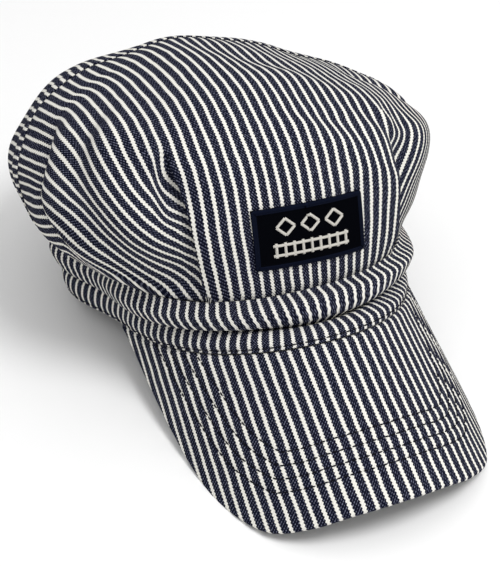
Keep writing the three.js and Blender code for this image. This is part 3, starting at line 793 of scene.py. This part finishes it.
def crown_cloth(angle, place, point, hidden, behind):
    """Cloth coordinates of the crown: across its stripes and along them."""
    x, y, z = point[..., 0], point[..., 1], point[..., 2]
    sine, cosine = np.sin(angle), np.cos(angle)
    side = np.where(sine < 0, -1.0, 1.0)
    degrees, level = np.abs(turned(angle)), place / TOP_PLACE
    middle = x * (1 + PANEL_TAPER * np.clip((TAPER_TOP - z) / TAPER_RUN, 0, 1) ** 1.5)
    drop = FALL_EASE * np.log1p(np.exp(np.clip((FALL_TOP - z) / FALL_EASE, -30, 30)))
    bulge = BULGE * bell(np.hypot(np.abs(x) - BULGE_SIDE, z - BULGE_HEIGHT), BULGE_WIDTH)
    left_fall = LEFT_FALL + LEFT_FALL_BEHIND * smooth(LEFT_FROM, LEFT_TO, degrees)
    hanging = x + side * (np.where(sine > 0, left_fall, RIGHT_FALL) * drop - bulge)
    rear_extra = np.where(sine > 0, np.interp(place, extra_place, extra_cloth["left"]),
                          np.interp(place, extra_place, extra_cloth["right"]))
    descent = REAR_DESCENT * REAR_RUN * np.tanh((y - REAR_START) / REAR_RUN) * (sine < 0)
    descent = descent * (1 - smooth(REAR_EASE, REAR_END, level))
    rear = x + side * (rear_extra - descent) * squared(np.abs(sine))
    right_fold, left_fold = (fold_angle(fold, level)[0] for fold in crown_folds)
    path = np.where(sine < 0, right_fold, left_fold)
    spread = np.where(sine > 0, LEFT_SPREAD, RIGHT_SPREAD)
    spread = spread + FOOT_SPREAD * smooth(0.3, 0.0, level) + TOP_SPREAD * smooth(0.7, 0.95, level)
    past_fold = 1.0 if behind else smooth(path - spread, path + spread, degrees)
    side_cloth = hanging + (rear - hanging) * past_fold
    if not behind:
        side_cloth = side_cloth - side * gathered(turned(angle), level)
    across = side_cloth if behind else middle + (side_cloth - middle) * hidden
    end_extra = np.where(cosine > 0, -np.interp(place, extra_place, extra_cloth["front"]),
                         np.interp(place, extra_place, extra_cloth["back"]))
    return np.stack([across, y + end_extra * squared(np.abs(cosine))], -1)


def crown_columns(place):
    """Columns of the crown at each level, close set in the pleats: angle, distance out and hidden share."""
    blocks = []
    open_above = 1 - smooth(PLEAT_FADE_PLACE, PLEAT_OPEN_PLACE, place)
    fold = (FOOT_FOLD + (1 - FOOT_FOLD) * smooth(0, FOOT_RISE, place)) * open_above
    fade = (FOOT_FADE + (1 - FOOT_FADE) * smooth(0, FOOT_RISE, place)) * open_above
    edge, speed = {}, {}
    for side in (-1, 1):
        edge[side] = pleat_angle(side, place)
        ahead = crown_base(side * (edge[side] + 0.01), place) - crown_base(side * (edge[side] - 0.01), place)
        speed[side] = np.maximum(np.linalg.norm(ahead, axis=-1) / 0.02, LEAST_SPEED)
    share = np.linspace(0, 1, MIDDLE_COLUMNS + 1)[1:-1]
    low = -(edge[-1] - PLEAT_MARGIN / speed[-1])[:, None]
    high = (edge[1] - PLEAT_MARGIN / speed[1])[:, None]
    angle = low + (high - low) * share
    near = np.minimum((angle + edge[-1][:, None]) * speed[-1][:, None],
                      (edge[1][:, None] - angle) * speed[1][:, None])
    blocks.append((angle, PLEAT_LAP * bell(near, LAP_WIDTH) * fade[:, None], 0 * angle))
    for side in (1, -1):
        course = np.linspace(0, len(pleat_course) - 1, PLEAT_COLUMNS)
        folded, flat, out, hidden = (between(pleat_course, name, course) for name in pleat_course[0])
        across = flat + (folded - flat) * fold[:, None]
        pleat = edge[side][:, None] + 0.001 * across / speed[side][:, None]
        pleat_block = (side * pleat, 0.001 * out * fade[:, None], hidden + 0 * pleat)
        start = edge[side][:, None] + PLEAT_CLEAR / speed[side][:, None]
        share = np.linspace(0, 1, SIDE_COLUMNS + 1)[1:]
        angle = start + (math.pi - start) * share
        past = (angle - edge[side][:, None]) * speed[side][:, None]
        tuck = -SIDE_TUCK * bell(past - SIDE_TUCK_PLACE, SIDE_TUCK_WIDTH) * fade[:, None]
        side_block = (side * angle, tuck, 1 + 0 * angle)
        if side > 0:
            blocks += [pleat_block, side_block]
        else:
            blocks += [tuple(part[:, :-1][:, ::-1] for part in side_block),
                       tuple(part[:, ::-1] for part in pleat_block)]
    return tuple(np.concatenate(parts, 1) for parts in zip(*blocks))


def crown_piece(name, outward, behind, offset=0.0):
    """The whole crown's skin at a distance out, closed at its top, with the front's or the back's cloth."""
    place = np.concatenate([np.linspace(0.0, CLOSE_FROM, CROWN_ROWS),
                            np.linspace(CLOSE_FROM, CLOSE_TO, CLOSE_ROWS)[1:]])
    angle, out, hidden = crown_columns(place)
    place = place[:, None] + 0 * angle
    base = crown_base(angle, place)
    points = base + crown_normal(angle, place) * (out + slack(angle, place, base) + outward)[..., None]
    cloth = crown_cloth(angle, place, base, hidden, behind) + np.array([offset, 0])
    cloth = np.concatenate([cloth, cloth[:, :1]], 1)
    piece = cloth_piece(name, points, cloth, wrap=True)
    shape = bmesh.new()
    shape.from_mesh(piece.data)
    shape.verts.ensure_lookup_table()
    columns = angle.shape[1]
    rim = [shape.verts[(len(place) - 1) * columns + index] for index in range(columns)]
    layer = shape.loops.layers.uv["cloth"]
    rim_cloth = {vert.index: loop[layer].uv.copy() for vert in rim for loop in vert.link_loops}
    top = shape.verts.new(sum((vert.co for vert in rim), Vector()) / columns)
    top_cloth = sum(rim_cloth.values(), Vector((0, 0))) / columns
    for index in range(columns):
        face = shape.faces.new((rim[index], rim[(index + 1) % columns], top))
        face.smooth = True
        for loop in face.loops:
            loop[layer].uv = rim_cloth.get(loop.vert.index, top_cloth)
    shape.to_mesh(piece.data)
    shape.free()
    return piece


def trim_at_seam(piece, beyond, keep_front):
    """Cuts a piece along the felled seam's plane, moved back by a distance."""
    spin = Matrix.Rotation(-REST_PITCH, 3, "X")
    normal = Vector((0, 1, -SEAM_LEAN)).normalized()
    point = Vector((0, SEAM_BACK, SEAM_HEIGHT)) + normal * beyond
    shape = bmesh.new()
    shape.from_mesh(piece.data)
    geometry = list(shape.verts) + list(shape.edges) + list(shape.faces)
    bmesh.ops.bisect_plane(shape, geom=geometry, plane_co=spin @ point + Vector(seat), plane_no=spin @ normal,
                           clear_outer=keep_front, clear_inner=not keep_front)
    shape.to_mesh(piece.data)
    shape.free()


crown_denim = stripe_denim("crown_denim", CROWN_PITCH, CROWN_FIRST_STRIPE)
crown_front = crown_piece("crown_front", 0.0, behind=False)
trim_at_seam(crown_front, -SEAM_GAP / 2, keep_front=True)
thicken(crown_front, CROWN_WALL)
crown_front.data.materials.append(crown_denim)
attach(crown_front, "root")
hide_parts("crown_front")

# Back of the crown. A second panel of the same denim, joined to the front one by a felled seam from ear
# to ear: its edge laps forward over the front panel as a narrow strip.
BACK_STRIPE_OFFSET = 0.2 * CROWN_PITCH
STRIP_STRIPE_OFFSET = 0.4 * CROWN_PITCH
STRIP_FRONT = 0.0042
STRIP_BACK = 0.0018
STRIP_PROUD = 0.0008
STRIP_WALL = 0.0007

crown_back = crown_piece("crown_back", 0.0, behind=True, offset=BACK_STRIPE_OFFSET)
trim_at_seam(crown_back, SEAM_GAP / 2, keep_front=False)
thicken(crown_back, CROWN_WALL)
crown_back.data.materials.append(crown_denim)
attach(crown_back, "root")
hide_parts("crown_back")

seam_strip = crown_piece("seam_strip", STRIP_PROUD, behind=True, offset=STRIP_STRIPE_OFFSET)
trim_at_seam(seam_strip, -STRIP_FRONT, keep_front=False)
trim_at_seam(seam_strip, STRIP_BACK, keep_front=True)
thicken(seam_strip, STRIP_WALL)
seam_strip.data.materials.append(crown_denim)
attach(seam_strip, "root")

# Patch. A small oblong of black twill with a satin-stitched border, sewn to the middle of the front. Its
# embroidery is a plain stretch of track under a row of small diamonds.
PATCH_WIDTH = 0.057
PATCH_HEIGHT = 0.0305
PATCH_THICKNESS = 0.001
PATCH_BORDER = 0.0026
PATCH_BORDER_PROUD = 0.0005
PATCH_ABOVE_BAND = 0.0135
PATCH_TILT = math.radians(2.8)
PATCH_SEAT = 0.0005
PATCH_WALL = 0.0008
PATCH_COLUMNS, PATCH_ROWS = 115, 63
BAR_COLUMNS, BAR_END = 9, 0.35
THREAD_PROUD = 0.0006
THREAD_WIDTH = 0.0014
SATIN_STEP = 0.0005
TWILL_STEP = 0.0009
BLACK = (0.0010, 0.0011, 0.0018)
BLACK_GLINT = (0.004, 0.0045, 0.007)
BORDER_NAVY = (0.0022, 0.0035, 0.011)
BORDER_GLINT = (0.004, 0.0065, 0.018)
WHITE_THREAD = (0.80, 0.77, 0.70)
WHITE_SHADE = (0.45, 0.43, 0.40)


def front_angle(across, place):
    """Angle at which the front of the crown lies at a distance from its middle, at a level."""
    side = np.where(across > 0, 1.0, -1.0)
    reach = np.where(across > 0, crown_reach(1, place), crown_reach(-1, place))
    share = (np.abs(across) + side * CROWN_SLUMP * (place / TOP_PLACE) ** 2) / reach
    return side * np.arcsin(np.clip(share, 0, 1) ** (SQUARENESS / 2))


def patch_points(across, height, out):
    """Points over the front of the crown, by their place on the patch."""
    target = BAND_FRONT_HEIGHT + PATCH_ABOVE_BAND + height - across * math.tan(PATCH_TILT)
    low, high = 0 * target, 0 * target + 5
    for _ in range(30):
        middle = (low + high) / 2
        short = crown_base(front_angle(across, middle), middle)[..., 2] < target
        low, high = np.where(short, middle, low), np.where(short, high, middle)
    angle = front_angle(across, low)
    return crown_base(angle, low) + crown_normal(angle, low) * out[..., None]


def twill_cloth(name, colour, glint):
    """Plain fine twill, quite without gloss."""
    material, tree, shader, place = cloth_material(name)
    shader.inputs["Specular IOR Level"].default_value = 0.0
    across, along = axes_of(tree, place)
    ridge = number(tree, "MULTIPLY_ADD", wave(tree, number(tree, "ADD", across, along), TWILL_STEP), 0.5, 0.5)
    share = number(tree, "MULTIPLY", ridge, fluff(tree, place, 1200.0))
    tree.links.new(blend_of(tree, share, colour, glint), shader.inputs["Base Color"])
    raised(tree, shader, share, 0.7, 0.0002)
    return material


def satin_stitch(name, colour, glint):
    """Satin stitch: threads laid side by side across the length of the cloth coordinates."""
    material, tree, shader, place = cloth_material(name)
    shader.inputs["Roughness"].default_value = 0.6
    shader.inputs["Specular IOR Level"].default_value = 0.03
    share = number(tree, "MULTIPLY_ADD", wave(tree, axes_of(tree, place)[0], SATIN_STEP), 0.5, 0.5)
    tree.links.new(blend_of(tree, share, colour, glint), shader.inputs["Base Color"])
    raised(tree, shader, share, 0.8, 0.0002)
    return material


across_steps = np.linspace(-0.5, 0.5, PATCH_COLUMNS) * PATCH_WIDTH
height_steps = np.linspace(0, 1, PATCH_ROWS) * PATCH_HEIGHT
across_grid, height_grid = np.meshgrid(across_steps, height_steps)
in_from_edge = np.minimum(PATCH_WIDTH / 2 - np.abs(across_grid),
                          np.minimum(height_grid, PATCH_HEIGHT - height_grid))
border_share = np.clip(in_from_edge / PATCH_BORDER, 0, 1)
border_bow = np.sqrt(np.clip(1 - (2 * border_share - 1) ** 2, 0, 1))
face = PATCH_SEAT + PATCH_THICKNESS * smooth(0, 0.3, border_share) + PATCH_BORDER_PROUD * border_bow
patch_grid = patch_points(across_grid, height_grid, face)
patch = cloth_piece("patch", patch_grid, np.stack([across_grid, height_grid], -1))
thicken(patch, PATCH_WALL)
patch.data.materials.append(twill_cloth("patch_twill", BLACK, BLACK_GLINT))
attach(patch, "root")
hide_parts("patch")


def satin_bars(name, lines, width, proud, wrap=False):
    """Raised bars of satin stitch on the patch, each along a line of places on it."""
    columns = BAR_COLUMNS
    across_share = np.linspace(-1, 1, columns)
    vertices, faces, cloth = [], [], []
    for line in lines:
        line = np.array(line, float)
        run = path_length(line)
        count = max(int(run[-1] / SATIN_STEP), 4)
        at = np.linspace(0, run[-1], count)
        middle = np.stack([np.interp(at, run, line[:, axis]) for axis in range(2)], -1)
        ahead = unit(np.gradient(middle, axis=0))
        aside = np.stack([-ahead[:, 1], ahead[:, 0]], -1)
        from_end = np.minimum(at, run[-1] - at) / (BAR_END * width)
        ends = np.ones(count) if wrap else np.sqrt(np.clip(from_end, 0, 1))
        place = middle[:, None] + aside[:, None] * (across_share * width / 2)[None, :, None]
        bow = np.sqrt(np.clip(1 - across_share ** 2, 0, 1))[None] * ends[:, None]
        points = patch_points(place[..., 0], place[..., 1], PATCH_SEAT + PATCH_THICKNESS + proud * bow)
        first = sum(len(part) for part in vertices)
        vertices.append(points.reshape(-1, 3))
        for row in range(count - 1):
            start, end = at[row], at[row + 1]
            for column in range(columns - 1):
                low = first + row * columns + column
                faces.append((low, low + columns, low + columns + 1, low + 1))
                cloth.append([(start, column), (end, column), (end, column + 1), (start, column + 1)])
    piece = new_piece(name, (resting(np.concatenate(vertices)) + seat).tolist(), faces)
    layer = piece.data.uv_layers.new(name="cloth")
    layer.data.foreach_set("uv", (np.array(cloth) * [1, 0.001]).ravel())
    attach(piece, "root")
    return piece


half_width, inset = PATCH_WIDTH / 2, PATCH_BORDER / 2
border_line = [(0, inset), (half_width - inset, inset), (half_width - inset, PATCH_HEIGHT - inset),
               (inset - half_width, PATCH_HEIGHT - inset), (inset - half_width, inset), (0, inset)]
patch_border = satin_bars("patch_border", [border_line], PATCH_BORDER, PATCH_BORDER_PROUD, wrap=True)
patch_border.data.materials.append(satin_stitch("border_satin", BORDER_NAVY, BORDER_GLINT))

RAIL_LOW, RAIL_HIGH, RAIL_HALF_LENGTH = 0.0068, 0.0118, 0.0195
TIE_LOW, TIE_HIGH, TIE_COUNT, TIE_REACH = 0.0055, 0.0131, 9, 0.92
DIAMOND_MIDDLE, DIAMOND_HEIGHT, DIAMOND_WIDTH, DIAMOND_STEP = 0.0207, 0.0042, 0.0046, 0.0125
track = [[(-RAIL_HALF_LENGTH, height), (RAIL_HALF_LENGTH, height)] for height in (RAIL_LOW, RAIL_HIGH)]
for tie in range(TIE_COUNT):
    across = RAIL_HALF_LENGTH * TIE_REACH * (2 * tie / (TIE_COUNT - 1) - 1)
    track.append([(across, TIE_LOW), (across, TIE_HIGH)])
for diamond in (-1, 0, 1):
    middle = diamond * DIAMOND_STEP
    corners = [(middle, DIAMOND_MIDDLE - DIAMOND_HEIGHT), (middle + DIAMOND_WIDTH, DIAMOND_MIDDLE),
               (middle, DIAMOND_MIDDLE + DIAMOND_HEIGHT), (middle - DIAMOND_WIDTH, DIAMOND_MIDDLE)]
    for corner in range(4):
        track.append([corners[corner], corners[(corner + 1) % 4]])
patch_stitching = satin_bars("patch_stitching", track, THREAD_WIDTH, THREAD_PROUD)
patch_stitching.data.materials.append(satin_stitch("white_satin", WHITE_SHADE, WHITE_THREAD))

# Floor. A wide sheet of plain pale paper, level and matt. The cap rests on it by itself, with nothing
# under its crown.
FLOOR_HALF = 6
PAPER = (0.9, 0.9, 0.9)
floor_corners = [(-FLOOR_HALF, -FLOOR_HALF, 0), (FLOOR_HALF, -FLOOR_HALF, 0),
                 (FLOOR_HALF, FLOOR_HALF, 0), (-FLOOR_HALF, FLOOR_HALF, 0)]
floor = new_piece("floor", floor_corners, [(0, 1, 2, 3)])
paper = bpy.data.materials.new("floor_paper")
paper.use_nodes = True
paper_shader = paper.node_tree.nodes["Principled BSDF"]
paper_shader.inputs["Base Color"].default_value = (*PAPER, 1)
paper_shader.inputs["Roughness"].default_value = 0.9
floor.data.materials.append(paper)

# Light. Pale soft studio light, stronger from overhead than from the sides, and one large lamp high in
# front.
SKY_LOW, SKY_HIGH = 0.4, 0.95
LAMP_PLACE, LAMP_AIM = Vector((0.32, -0.6, 1.3)), Vector((0, 0, 0.06))
LAMP_POWER, LAMP_SIZE = 11.0, 0.6
studio = bpy.data.worlds.new("studio")
bpy.context.scene.world = studio
studio.use_nodes = True
sky = studio.node_tree
direction = sky.nodes.new("ShaderNodeSeparateXYZ")
sky.links.new(sky.nodes.new("ShaderNodeTexCoord").outputs["Generated"], direction.inputs[0])
sky.nodes["Background"].inputs["Color"].default_value = (1, 1, 1, 1)
brightness = ramp(sky, direction.outputs["Z"], 0.0, 1.0, SKY_LOW, SKY_HIGH)
sky.links.new(brightness, sky.nodes["Background"].inputs["Strength"])
bpy.context.scene.view_settings.view_transform = "Standard"

lamp = bpy.data.lights.new("main_lamp", "AREA")
lamp.shape = "DISK"
lamp.size = LAMP_SIZE
lamp.energy = LAMP_POWER
lamp_stand = bpy.data.objects.new("main_lamp", lamp)
bpy.context.collection.objects.link(lamp_stand)
lamp_stand.location = LAMP_PLACE
lamp_stand.rotation_euler = (LAMP_AIM - LAMP_PLACE).to_track_quat("-Z", "Y").to_euler()

# Camera. It looks down at the cap from its front right, a little rolled, as in the photograph. Its numbers
# were fitted to the photograph in the cap's level frame, so it is pitched back with the cap.
LENS_TURN = -0.3612
LENS_RISE = 0.4601
LENS_ROLL = -0.0798
LENS_DISTANCE = 0.780
FOCAL_PIXELS = 1442.9
IMAGE_WIDTH, IMAGE_HEIGHT = 500, 567
MIDDLE_X, MIDDLE_Y = 244.6, 247.475
backward = Vector((math.sin(LENS_TURN) * math.cos(LENS_RISE), -math.cos(LENS_TURN) * math.cos(LENS_RISE),
                   math.sin(LENS_RISE)))
level_right = Vector((math.cos(LENS_TURN), math.sin(LENS_TURN), 0))
level_up = backward.cross(level_right)
right = math.cos(LENS_ROLL) * level_right + math.sin(LENS_ROLL) * level_up
up = math.cos(LENS_ROLL) * level_up - math.sin(LENS_ROLL) * level_right
spin = Matrix.Rotation(-REST_PITCH, 3, "X")
axes = spin @ Matrix((right, up, backward)).transposed()
lens = bpy.data.cameras.new("camera")
lens.sensor_width = 36
largest = max(IMAGE_WIDTH, IMAGE_HEIGHT)
lens.sensor_fit = "AUTO"
lens.lens = FOCAL_PIXELS / largest * lens.sensor_width
lens.shift_x = (IMAGE_WIDTH / 2 - MIDDLE_X) / largest
lens.shift_y = (MIDDLE_Y - IMAGE_HEIGHT / 2) / largest
camera = bpy.data.objects.new("camera", lens)
bpy.context.collection.objects.link(camera)
camera.matrix_world = Matrix.Translation(spin @ (backward * LENS_DISTANCE) + Vector(seat)) @ axes.to_4x4()
bpy.context.scene.camera = camera
